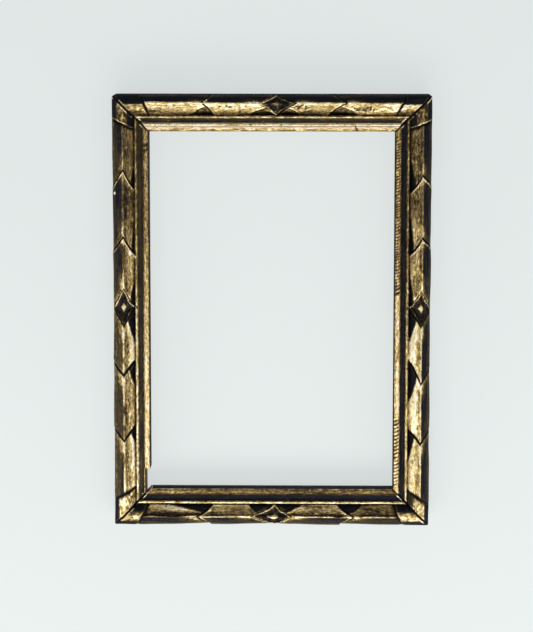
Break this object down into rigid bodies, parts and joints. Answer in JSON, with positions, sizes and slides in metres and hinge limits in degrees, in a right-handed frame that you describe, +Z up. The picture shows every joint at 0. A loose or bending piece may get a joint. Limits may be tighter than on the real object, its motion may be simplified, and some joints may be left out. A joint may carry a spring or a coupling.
{
  "type": "picture frame",
  "caption": "Rectangular carved gilt wood picture frame with a leaf and diamond roll, cove and sight bead, a rabbet at the back, a hanging ring and turn buttons.",
  "frame": {"origin": "the nail that the hanging ring drops over, on the frame's back plane at the middle of the top rail", "axes": "+Z up, +X to the right seen from the front, +Y into the wall; the carved front faces -Y"},
  "size_m": [0.223, 0.0276, 0.305],
  "materials": {
    "gilt_wood": "worn metal leaf over dark ground, with dark patina in the carving",
    "gilt_bead": "bright worn metal leaf, rubbed on the crown",
    "old_brass": "dull aged brass",
    "steel": "plain drawn steel wire"
  },
  "bodies": {
    "frame": {"top_rail": "gilt_wood", "bottom_rail": "gilt_wood", "left_stile": "gilt_wood", "right_stile": "gilt_wood", "top_sight_bead": "gilt_bead", "bottom_sight_bead": "gilt_bead", "left_sight_bead": "gilt_bead", "right_sight_bead": "gilt_bead", "brads_top_left": "steel", "brads_top_right": "steel", "brads_bottom_left": "steel", "brads_bottom_right": "steel", "hanger_plate": "old_brass", "hanger_screws": "old_brass", "turn_button_screws": "old_brass"},
    "ring": {"hanger_ring": "old_brass"},
    "button_upper_left": {"turn_button_upper_left": "old_brass"},
    "button_lower_left": {"turn_button_lower_left": "old_brass"},
    "button_upper_right": {"turn_button_upper_right": "old_brass"},
    "button_lower_right": {"turn_button_lower_right": "old_brass"}
  },
  "joints": [
    {"name": "ring_swing", "type": "hinge", "parent": "frame", "child": "ring", "pos_m": [0, 0.0021, -0.0056], "axis": [1, 0, 0], "range_deg": [0, 180]},
    {"name": "upper_left_button_turn", "type": "hinge", "parent": "frame", "child": "button_upper_left", "pos_m": [-0.1015, 0.0009, -0.0615], "axis": [0, 1, 0], "continuous": true},
    {"name": "lower_left_button_turn", "type": "hinge", "parent": "frame", "child": "button_lower_left", "pos_m": [-0.1015, 0.0009, -0.2375], "axis": [0, 1, 0], "continuous": true},
    {"name": "upper_right_button_turn", "type": "hinge", "parent": "frame", "child": "button_upper_right", "pos_m": [0.1015, 0.0009, -0.0615], "axis": [0, 1, 0], "continuous": true},
    {"name": "lower_right_button_turn", "type": "hinge", "parent": "frame", "child": "button_lower_right", "pos_m": [0.1015, 0.0009, -0.2375], "axis": [0, 1, 0], "continuous": true}
  ]
}
